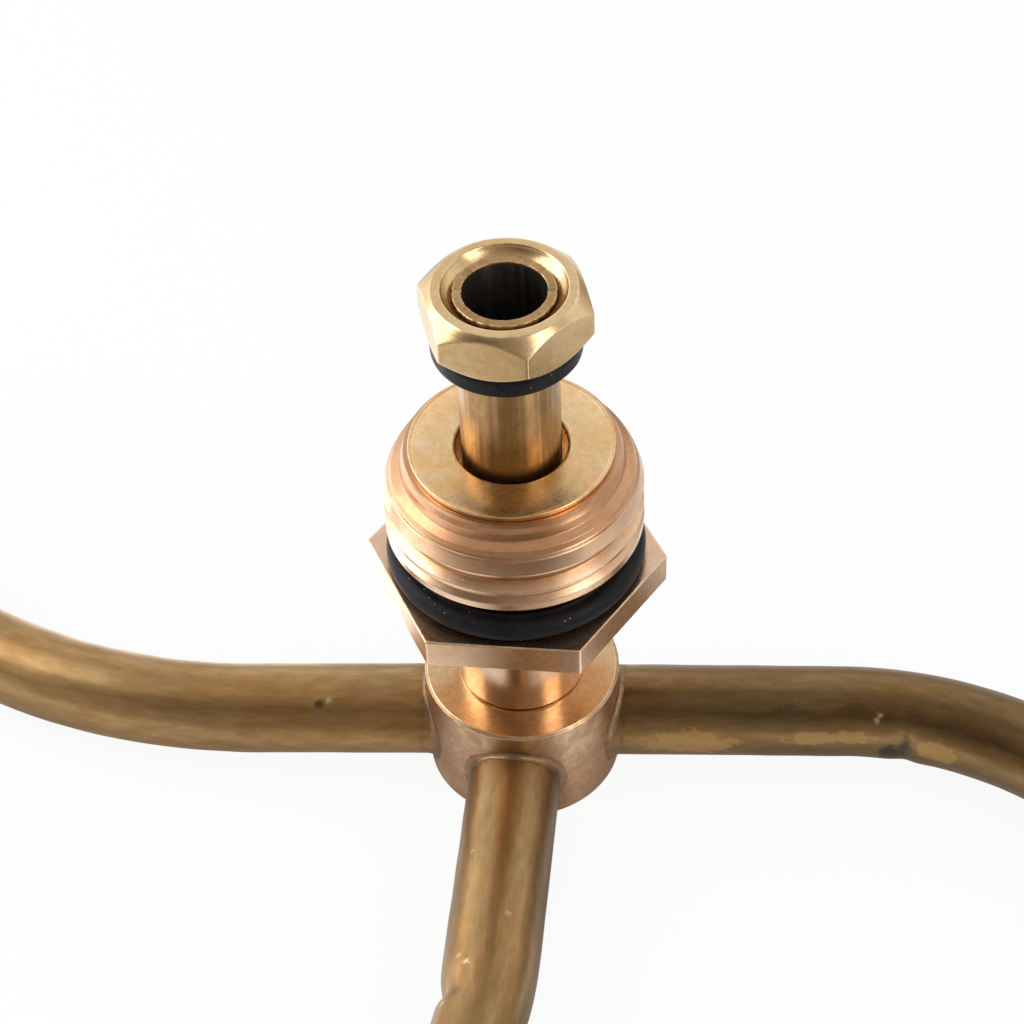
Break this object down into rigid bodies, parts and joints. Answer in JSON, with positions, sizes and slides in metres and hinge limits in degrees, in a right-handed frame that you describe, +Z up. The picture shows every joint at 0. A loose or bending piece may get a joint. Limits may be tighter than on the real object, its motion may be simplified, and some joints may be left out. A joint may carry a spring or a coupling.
{
  "type": "rotary spray head",
  "caption": "Brass rotary sparge and spray head: bent tube arms on a hub and feed tube that turn in a bushed, threaded supply fitting.",
  "frame": {"origin": "centre of the hub's flat underside, on the rotor's axis", "axes": "+Z up along the feed tube's axis towards the lock nut; +X close to the right arm, -Y close to the front arm"},
  "size_m": [0.1637, 0.1126, 0.0683],
  "materials": {
    "hub_brass": "turned, satin",
    "tube_brass": "drawn, tarnished",
    "braze_metal": "brazed, as flowed",
    "nut_brass": "turned, satin",
    "rubber": "moulded, matt",
    "fitting_bronze": "turned, bright",
    "bush_brass": "turned, satin",
    "arm_brass": "drawn, tarnished",
    "tip_brass": "turned, satin"
  },
  "bodies": {
    "rotor": {"hub": "hub_brass", "feed_tube": "tube_brass", "stem_braze": "braze_metal", "lock_nut": "nut_brass", "arm_left": "arm_brass", "arm_right": "arm_brass", "arm_front": "arm_brass", "braze_left": "braze_metal", "braze_right": "braze_metal", "braze_front": "braze_metal", "ferrule_left": "tip_brass", "ferrule_right": "tip_brass", "ferrule_front": "tip_brass", "jet_left": "tip_brass", "jet_right": "tip_brass", "jet_front": "tip_brass"},
    "washer": {"seal_washer": "rubber"},
    "fitting": {"threaded_body": "fitting_bronze", "bearing_bush": "bush_brass", "flange_o_ring": "rubber"}
  },
  "joints": [
    {"name": "fitting_spin", "type": "hinge", "parent": "rotor", "child": "washer", "pos_m": [0, 0, 0.062], "axis": [0, 0, 1], "continuous": true},
    {"name": "fitting_slide", "type": "slide", "parent": "washer", "child": "fitting", "axis": [0, 0, 1], "range_m": [0, 0.0129]}
  ]
}
